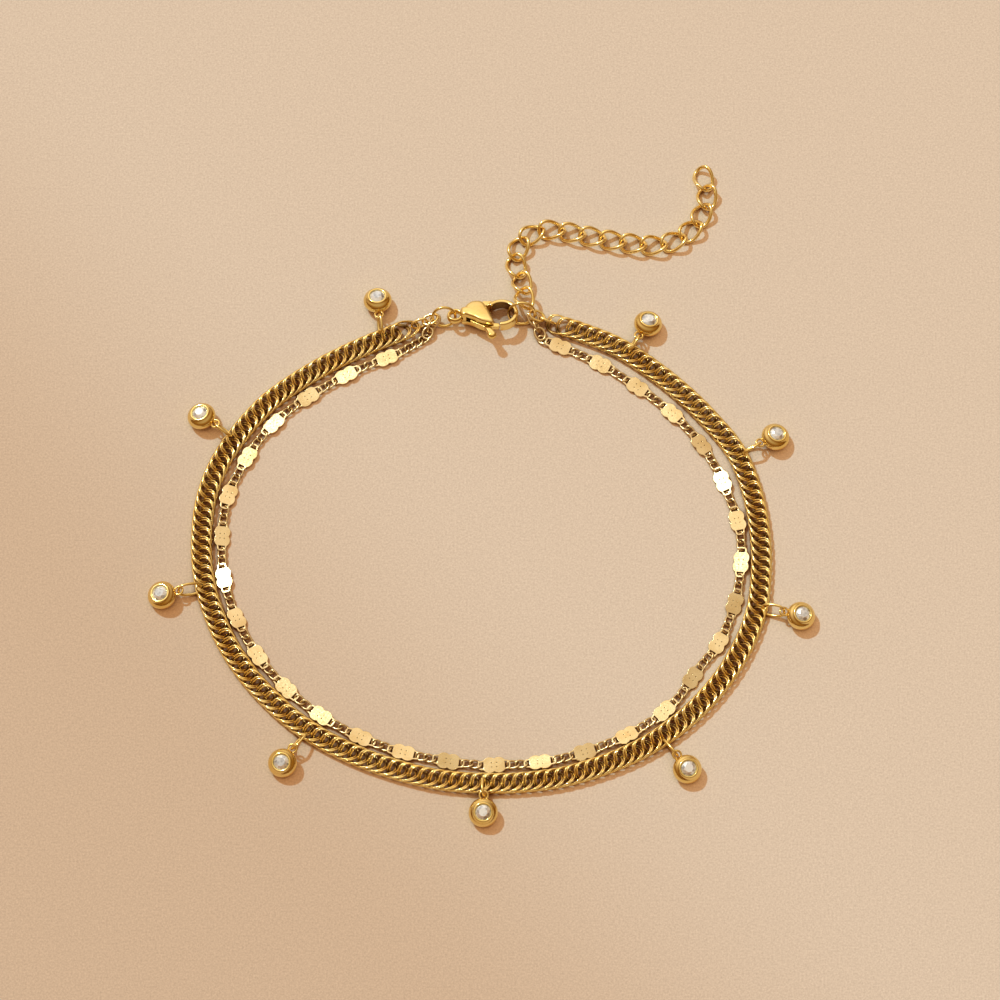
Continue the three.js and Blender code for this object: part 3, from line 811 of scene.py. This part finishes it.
# A round brilliant: a table, star and kite facets, a thin girdle and a pavilion that ends in a point.
def stoneMesh(name, seed):
    radius, table, girdle = stone["radius"], stone["tableRadius"], 0.03
    lift = stone["girdle"] - charm["height"] / 2
    points = []

    def ring(count, start, at, z):
        first = len(points)
        for k in range(count):
            turn = 2 * math.pi * (k + start) / count
            points.append((at * math.cos(turn), at * math.sin(turn), z + lift))
        return [first + k for k in range(count)]

    top = ring(8, 0.0, table, stone["crown"])
    star = ring(8, 0.5, (radius + table) * 0.49, stone["crown"] * 0.6)
    upper = ring(16, 0.0, radius, girdle)
    lower = ring(16, 0.0, radius, -girdle)
    pavilion = ring(8, 0.5, radius * 0.42, -stone["pavilion"] * 0.64)
    culet = ring(1, 0.0, 0.0, -stone["pavilion"])[0]
    faces = [tuple(top)]
    for k in range(8):
        before, after = k - 1, (k + 1) % 8
        middle, end = 2 * k + 1, (2 * k + 2) % 16
        faces += [
            (top[k], star[k], top[after]),
            (top[k], star[before], upper[2 * k], star[k]),
            (star[k], upper[2 * k], upper[middle]),
            (star[k], upper[middle], upper[end]),
            (pavilion[k], lower[middle], lower[2 * k]),
            (pavilion[k], lower[end], lower[middle]),
            (culet, pavilion[before], lower[2 * k], pavilion[k]),
        ]
    for k in range(16):
        after = (k + 1) % 16
        faces.append((upper[k], lower[k], lower[after], upper[after]))
    mesh = cleanShell(meshFrom(name, points, faces, smooth=False))
    # Painted light: each facet gets a random brightness, standing in for the light it sends back.
    chance = random.Random(seed)
    tones = mesh.attributes.new("paintedFacetLight", "FLOAT", "FACE")
    for item in tones.data:
        item.value = chance.random()
    return mesh


def makeCharm(number, share, reach, lean, tilt, roll):
    place, root, eye = charmPlaces(share, reach, lean, tilt)
    bezelEye = wireLoop(charm["eyeRadius"], charm["eyeRadius"], charm["eyeWire"], 28, 10)
    bezelEye.transform(Matrix.Translation((charm["eyeDistance"], 0.0, -charm["eyeDrop"])))
    bezel = joinMeshes(f"bezel{number}", [turned("cup", bezelProfile(), 48), bezelEye])
    bezel.transform(place)
    holder = addObject(f"bezel{number}", bezel)
    finishPiece(holder, "root", "bezel_gold", [f"charm_bezel_{number}"], castGold)
    cut = stoneMesh(f"stone{number}", number)
    cut.transform(place @ Matrix.Rotation(0.4 * number, 4, "Z"))
    gem = addObject(f"stone{number}", cut)
    finishPiece(gem, "root", "clear_stone", [f"charm_stone_{number}"], clearStone)
    span = eye - root
    width, wire = charmRing["halfWidth"], charmRing["wire"]
    ring = wireLoop(span.length / 2, width, wire, 44, 10, charmRing["squareness"])
    ring.transform(frameAlong((root + eye) / 2, span, 90 + roll))
    jump = addObject(f"ring{number}", ring)
    finishPiece(jump, "root", "ring_gold", [f"charm_ring_{number}"], castGold)


for number, row in enumerate(charms, start=1):
    makeCharm(number, *row)
print("charms made")


# Clasp

clasp = {
    "x": -3.17,
    "y": 23.09,
    "height": 1.5,
    "turn": 3.5,
    "roll": -16.0,  # about its own length, with the far edge down
    "halfThickness": 1.16,
    "cheekEdge": 0.8,
    "slotHalf": 0.4,
    "eyeRadius": 0.81,
    "eyeWire": 0.49,
    "hookX": 5.7,
    "hookY": -0.2,
    "hookRadius": 1.81,
    "hookHalfWidth": 0.29,
    "hookHalfHeight": 0.66,
    "hookTip": -98.0,
    "hookRoot": 138.0,
    # how dark the painted shade on the hook's inner wall is
    "hookShade": 0.85,
    "padX": 4.35,
    "padY": -3.3,
    "padRadius": 0.58,
    "voxel": 0.05,
    "smoothing": 3,
}
cheekOutline = [
    (0.75, 0.5), (1.2, 0.68), (1.65, 1.22), (2.35, 1.6), (3.4, 1.42), (3.95, 0.4),
    (4.4, -0.72), (4.6, -2.0), (3.3, -1.78), (2.2, -1.08), (1.3, -0.62), (0.75, -0.5),
]
spineOutline = [
    (0.7, -0.45), (0.7, 0.45), (1.2, 0.62), (1.65, 1.14), (2.35, 1.52), (3.4, 1.35), (3.62, 1.1),
    (2.2, 1.1), (1.36, 0.82), (1.3, -0.5),
]
rootOutline = [(3.2, 1.02), (4.7, 1.02), (4.6, 1.7), (3.5, 1.78)]
leverOutline = [
    (2.55, 0.37), (1.8, -0.9), (2.1, -1.3), (3.3, -2.1), (3.9, -2.45), (4.5, -2.3),
    (4.95, -2.3), (5.3, -2.26), (5.3, -1.76), (4.6, -1.62), (4.05, -1.1), (3.5, 0.26),
]


def closedCurve(outline, perSpan):
    count = len(outline)
    dense = []
    for i in range(count):
        p0, p1, p2, p3 = (Vector(outline[(i + k - 1) % count]) for k in range(4))
        for k in range(perSpan):
            u = k / perSpan
            dense.append(0.5 * (
                2 * p1 + (p2 - p0) * u + (2 * p0 - 5 * p1 + 4 * p2 - p3) * u * u
                + (3 * p1 - p0 - 3 * p2 + p3) * u ** 3))
    return dense


# A closed shell between stacked outlines, each given as its points and height.
def stackedShell(name, layers):
    verts = [(x, y, z) for points, z in layers for x, y in points]
    count = len(layers[0][0])
    faces = [tuple(range(count))[::-1], tuple(range(len(verts) - count, len(verts)))]
    for row in range(len(layers) - 1):
        for i in range(count):
            a, b = row * count + i, row * count + (i + 1) % count
            faces.append((a, b, b + count, a + count))
    return cleanShell(meshFrom(name, verts, faces))


def block(name, outline, half):
    return stackedShell(name, [(outline, -half), (outline, half)])


# One cheek: flat towards the lever's slot, with a rounded edge and a broad, gently domed face outside.
def cheek(name, side):
    outline = closedCurve(cheekOutline, 6)
    centre = sum(outline, Vector((0.0, 0.0))) / len(outline)
    edge, top = clasp["cheekEdge"], clasp["halfThickness"]
    layers = [(outline, side * clasp["slotHalf"])]
    for inward in (0.0, 0.015, 0.05, 0.1, 0.17, 0.25, 0.38, 0.55, 0.75, 0.96):
        rounding = math.sqrt(1.0 - (1.0 - min(1.0, inward / 0.25)) ** 2)
        doming = 1.0 - (1.0 - inward) ** 2
        height = edge + (top - edge) * (0.72 * rounding + 0.28 * doming)
        layers.append(([p.lerp(centre, inward) for p in outline], side * height))
    return stackedShell(name, layers)


def hookBand():
    wide, tall, corner = clasp["hookHalfWidth"], clasp["hookHalfHeight"], 0.2
    section = []
    for cx, cz, start in ((1, 1, 0), (-1, 1, 90), (-1, -1, 180), (1, -1, 270)):
        for k in range(4):
            turn = math.radians(start + 30 * k)
            x = cx * (wide - corner) + corner * math.cos(turn)
            section.append((x, cz * (tall - corner) + corner * math.sin(turn)))
    verts, faces = [], []
    steps = 56
    for i in range(steps + 1):
        turn = math.radians(clasp["hookTip"] + (clasp["hookRoot"] - clasp["hookTip"]) * i / steps)
        for x, z in section:
            reach = clasp["hookRadius"] + x
            x, y = clasp["hookX"] + reach * math.cos(turn), clasp["hookY"] + reach * math.sin(turn)
            verts.append((x, y, z))
    count = len(section)
    for i in range(steps):
        for k in range(count):
            a, b = i * count + k, i * count + (k + 1) % count
            faces.append((a, b, b + count, a + count))
    faces += [tuple(range(count))[::-1], tuple(range(steps * count, (steps + 1) * count))]
    return meshFrom("hookBand", verts, faces)


def disc(name, x, y, radius, half, crown):
    turns = [2 * math.pi * k / 40 for k in range(40)]
    layers = []
    shoulder = half - crown * 0.6
    for scale, z in ((1 - crown, -half), (1, -shoulder), (1, shoulder), (1 - crown, half)):
        reach = radius * scale
        layers.append(([(x + reach * math.cos(t), y + reach * math.sin(t)) for t in turns], z))
    return stackedShell(name, layers)


# Painted shade: the inner wall of the hook, which sees only the shaded paper and itself, is marked to be
# painted darker.
def paintHookShade(mesh):
    centre = Vector((clasp["hookX"], clasp["hookY"]))
    shade = mesh.attributes.new("crevice", "FLOAT", "POINT")
    for vertex, item in zip(mesh.vertices, shade.data):
        away = vertex.co.xy - centre
        inward = -vertex.normal.xy.dot(away.normalized())
        item.value = clasp["hookShade"] * max(0.0, inward) if away.length < clasp["hookRadius"] else 0.0


# Fuses the shells into one skin and softens its edges, as a polished casting has them.
def castFrom(name, meshes, body, slot, nodes):
    obj = addObject(name, joinMeshes(name, meshes))
    fuse = obj.modifiers.new("fuse", "REMESH")
    fuse.mode = "VOXEL"
    fuse.voxel_size = clasp["voxel"]
    soften = obj.modifiers.new("soften", "SMOOTH")
    soften.factor = 0.5
    soften.iterations = clasp["smoothing"]
    made = evaluatedMesh(obj)
    made.name = name
    paintHookShade(made)
    obj.modifiers.clear()
    obj.data = made
    for polygon in made.polygons:
        polygon.use_smooth = True
    along = Vector((math.cos(math.radians(clasp["turn"])), math.sin(math.radians(clasp["turn"])), 0.0))
    made.transform(frameAlong(Vector((clasp["x"], clasp["y"], clasp["height"])), along, clasp["roll"]))
    return finishPiece(obj, body, slot, nodes, castGold)


# The lever's thumb piece, which widens from the arm to a round end.
def thumbOutline():
    turns = [math.radians(-195 + 15 * k) for k in range(14)]
    x, y, radius = clasp["padX"], clasp["padY"], clasp["padRadius"]
    end = [(x + radius * math.cos(t), y + radius * math.sin(t)) for t in turns]
    return [*end, (4.45, -2.5), (4.1, -2.0), (3.35, -2.0), (3.6, -2.6)]


# A solid rounded over on both faces, as a pebble is.
def pebble(name, outline, half, rounding):
    points = [Vector(p) for p in outline]
    centre = sum(points, Vector((0.0, 0.0))) / len(points)
    layers = []
    for k in range(-4, 5):
        lift = math.radians(20 * k)
        inward = rounding * (1.0 - math.cos(lift))
        layers.append(([p.lerp(centre, inward) for p in points], half * math.sin(lift)))
    return stackedShell(name, layers)


def makeClasp():
    eye = wireLoop(clasp["eyeRadius"], clasp["eyeRadius"], clasp["eyeWire"], 40, 14)
    eye.transform(Matrix.Diagonal((1.0, 1.0, 1.75, 1.0)))
    parts = [
        cheek("cheekAbove", 1),
        cheek("cheekBelow", -1),
        block("spine", spineOutline, 0.84),
        block("root", rootOutline, 0.55),
        hookBand(),
        eye,
    ]
    castFrom("claspBody", parts, "root", "clasp_gold", ["clasp_body"])
    lever = [
        block("arm", closedCurve(leverOutline, 4), 0.28),
        pebble("thumb", thumbOutline(), 0.42, 0.5),
        disc("hub", 3.0, 0.39, 0.5, 0.28, 0.1),
    ]
    castFrom("claspLever", lever, "lever", "clasp_gold", ["clasp_lever"])


makeClasp()
print("clasp made")


# Rings at the clasp and at the chains' other end

standingRings = {
    "claspRing": {"node": "clasp_ring", "x": -4.567, "y": 23.005, "z": 1.52, "radius": 1.4, "wire": 0.36,
                  "tilt": 60.0, "turn": 3.5},
    "endRing": {"node": "end_ring", "x": 5.03, "y": 23.4, "z": 1.67, "radius": 1.62, "wire": 0.38,
                "tilt": 62.0, "turn": 0.0},
}
for name, ring in standingRings.items():
    mesh = wireLoop(ring["radius"], ring["radius"], ring["wire"], 56, 12)
    turn = math.radians(ring["turn"])
    along = Vector((math.cos(turn), math.sin(turn), 0.0))
    mesh.transform(frameAlong(Vector((ring["x"], ring["y"], ring["z"])), along, ring["tilt"]))
    finishPiece(addObject(name, mesh), "root", "ring_gold", [ring["node"]], castGold)
print("rings made")


# Extender

extender = {"links": 16, "halfLength": 1.6, "halfWidth": 1.13, "twist": 0.5, "wire": 0.46}


def makeExtender():
    route = smoothRoute(extenderRoute, perSpan)
    pitch = routeLength(route) / (extender["links"] - 1)
    mesh = meshFromTree("extender", chainTree, route, {
        "Count": extender["links"],
        "Group Pitch": pitch,
        "Half Length": extender["halfLength"],
        "Half Width": extender["halfWidth"],
        "Twist": extender["twist"],
        "Wire": extender["wire"],
        "Around": 40,
        "Sides": 10,
        "Material": chainGold,
    })
    nodes = [f"extender_link_{k:02d}" for k in range(1, extender["links"] + 1)]
    finishPiece(addObject("extender", mesh), "root", "extender_gold", nodes, chainGold)


makeExtender()
print("extender made")


# Floor, light and camera

studio = {
    "floorColour": (0.412, 0.528, 0.512),
    # The next four entries set painted shade on the paper: close to the pieces, and towards the near
    # left.
    "contactReach": 0.004,
    "floorShade": (0.88, 0.80, 0.72),  # how much darker it gets towards the near left
    "shadeWay": (-0.75, -0.66, 0.0),
    "shadeReach": 0.05,
    "paperGrain": 4300.0,
    "floorSize": 3.0,
    "bounceColour": (1.40, 0.57, 0.26),  # warm light from the room, which fills the shadows
    "sunStrength": 1.90,
    "sunColour": (0.80, 0.96, 1.0),
    "sunSoftness": 2.0,
    "sunTravel": (0.54, -0.58, -1.0),
    "windowWay": (-0.25, 0.7, 0.67),  # towards the wide soft light that polished metal reflects
    "windowColour": (1.08, 1.04, 0.99),
    "windowWidth": 3.0,
    "cameraPlace": (2.35, -248.65, 583.6),
    "cameraElevation": 67.0,
    "lens": 187.1,
}
paintedContactShading = [  # how open the paper is to the room, 0 to 1, and the painted shade, darkening below 1 and brightening above it, multiplied into its colour there
    (0.0, (0.20, 0.06, 0.012)),
    (0.32, (0.42, 0.17, 0.06)),
    (0.55, (1.22, 1.08, 0.92)),
    (0.75, (1.17, 1.10, 1.04)),
    (1.0, (1.0, 1.0, 1.0)),
]
skyColours = [  # how high above the horizon, 0 to 1, and what polished metal reflects from there
    (0.0, (0.14, 0.045, 0.006)),
    (0.5, (0.34, 0.17, 0.043)),
    (1.0, (0.58, 0.47, 0.34)),
]


# Buff paper: a fine fibrous speckle, painted shade that deepens towards the near left, and painted
# contact shade and light around the pieces on it.
def paperMaterial():
    material, nodes, links, shader = newMaterial("paper")
    place = nodes.new("ShaderNodeTexCoord")
    grain = nodes.new("ShaderNodeTexNoise")
    grain.inputs["Scale"].default_value = studio["paperGrain"]
    grain.inputs["Detail"].default_value = 4.0
    grain.inputs["Roughness"].default_value = 0.75
    links.new(place.outputs["Object"], grain.inputs["Vector"])
    tint = nodes.new("ShaderNodeValToRGB")
    base = studio["floorColour"]
    setStops(tint.color_ramp, [(0.3, [c * 0.8 for c in base]), (0.7, [c * 1.18 for c in base])])
    links.new(grain.outputs["Fac"], tint.inputs["Fac"])
    # Painted shade: the colour is multiplied darker towards the near left, where the light falls off.
    across = nodes.new("ShaderNodeVectorMath")
    across.operation = "DOT_PRODUCT"
    across.inputs[1].default_value = studio["shadeWay"]
    links.new(place.outputs["Object"], across.inputs[0])
    fade = nodes.new("ShaderNodeMapRange")
    fade.interpolation_type = "SMOOTHSTEP"
    fade.inputs["From Max"].default_value = studio["shadeReach"]
    links.new(across.outputs["Value"], fade.inputs["Value"])
    shade = nodes.new("ShaderNodeMix")
    shade.data_type = "RGBA"
    shade.blend_type = "MULTIPLY"
    shade.inputs["B"].default_value = (*studio["floorShade"], 1.0)
    links.new(fade.outputs["Result"], shade.inputs["Factor"])
    links.new(tint.outputs["Color"], shade.inputs["A"])
    # Painted contact shade and light: the paper's colour is darkened close under the pieces and
    # brightened a little further out, by how much of the room it sees.
    near = nodes.new("ShaderNodeAmbientOcclusion")
    near.samples = 16
    near.inputs["Distance"].default_value = studio["contactReach"]
    contact = nodes.new("ShaderNodeValToRGB")
    setStops(contact.color_ramp, paintedContactShading)
    links.new(near.outputs["AO"], contact.inputs["Fac"])
    darkened = nodes.new("ShaderNodeMix")
    darkened.data_type = "RGBA"
    darkened.blend_type = "MULTIPLY"
    darkened.inputs["Factor"].default_value = 1.0
    links.new(shade.outputs["Result"], darkened.inputs["A"])
    links.new(contact.outputs["Color"], darkened.inputs["B"])
    links.new(darkened.outputs["Result"], shader.inputs["Base Color"])
    shader.inputs["Roughness"].default_value = 0.9
    bump = nodes.new("ShaderNodeBump")
    bump.inputs["Strength"].default_value = 0.25
    bump.inputs["Distance"].default_value = 0.00004
    links.new(grain.outputs["Fac"], bump.inputs["Height"])
    links.new(bump.outputs["Normal"], shader.inputs["Normal"])
    return material


def makeFloor():
    half = studio["floorSize"] / 2
    drop = -0.00002
    corners = [(-half, -half, drop), (half, -half, drop), (half, half, drop), (-half, half, drop)]
    floor = addObject("floor", meshFrom("floor", corners, [(0, 1, 2, 3)], smooth=False))
    floor.data.materials.append(paperMaterial())


# A sky that is dark at the horizon and warm above, with one wide soft window of light. Matt surfaces get
# an even warm light instead.
def makeSky():
    world = bpy.data.worlds.new("studio")
    bpy.context.scene.world = world
    world.use_nodes = True
    nodes, links = world.node_tree.nodes, world.node_tree.links
    way = nodes.new("ShaderNodeTexCoord")
    xyz = nodes.new("ShaderNodeSeparateXYZ")
    links.new(way.outputs["Generated"], xyz.inputs["Vector"])
    sky = nodes.new("ShaderNodeValToRGB")
    setStops(sky.color_ramp, skyColours)
    links.new(xyz.outputs["Z"], sky.inputs["Fac"])
    towards = Vector(studio["windowWay"]).normalized()
    facing = nodes.new("ShaderNodeVectorMath")
    facing.operation = "DOT_PRODUCT"
    facing.inputs[1].default_value = towards
    links.new(way.outputs["Generated"], facing.inputs[0])
    ahead = nodes.new("ShaderNodeMath")
    ahead.operation = "MAXIMUM"
    ahead.inputs[1].default_value = 0.0
    links.new(facing.outputs["Value"], ahead.inputs[0])
    spread = nodes.new("ShaderNodeMath")
    spread.operation = "POWER"
    spread.inputs[1].default_value = studio["windowWidth"]
    links.new(ahead.outputs[0], spread.inputs[0])
    glow = nodes.new("ShaderNodeMix")
    glow.data_type = "RGBA"
    glow.blend_type = "ADD"
    glow.inputs["B"].default_value = (*studio["windowColour"], 1.0)
    links.new(spread.outputs[0], glow.inputs["Factor"])
    links.new(sky.outputs["Color"], glow.inputs["A"])
    ray = nodes.new("ShaderNodeLightPath")
    fill = nodes.new("ShaderNodeMix")
    fill.data_type = "RGBA"
    fill.inputs["B"].default_value = (*studio["bounceColour"], 1.0)
    links.new(ray.outputs["Is Diffuse Ray"], fill.inputs["Factor"])
    links.new(glow.outputs["Result"], fill.inputs["A"])
    links.new(fill.outputs["Result"], nodes["Background"].inputs["Color"])


def makeSun():
    sun = bpy.data.lights.new("sun", "SUN")
    sun.energy = studio["sunStrength"]
    sun.angle = math.radians(studio["sunSoftness"])
    sun.color = studio["sunColour"]
    sunObject = addObject("sun", sun)
    sunObject.rotation_euler = Vector(studio["sunTravel"]).to_track_quat("-Z", "Y").to_euler()


def makeCamera():
    camera = bpy.data.cameras.new("camera")
    camera.lens = studio["lens"]
    camera.sensor_width = 36.0
    camera.clip_start = 0.01
    cameraObject = addObject("camera", camera)
    cameraObject.location = (Vector(studio["cameraPlace"]) + loopMiddle) * 0.001
    cameraObject.rotation_euler = (math.radians(90.0 - studio["cameraElevation"]), 0.0, 0.0)
    bpy.context.scene.camera = cameraObject


makeFloor()
makeSky()
makeSun()
makeCamera()
bpy.context.scene.view_settings.view_transform = "Standard"
print("studio made")
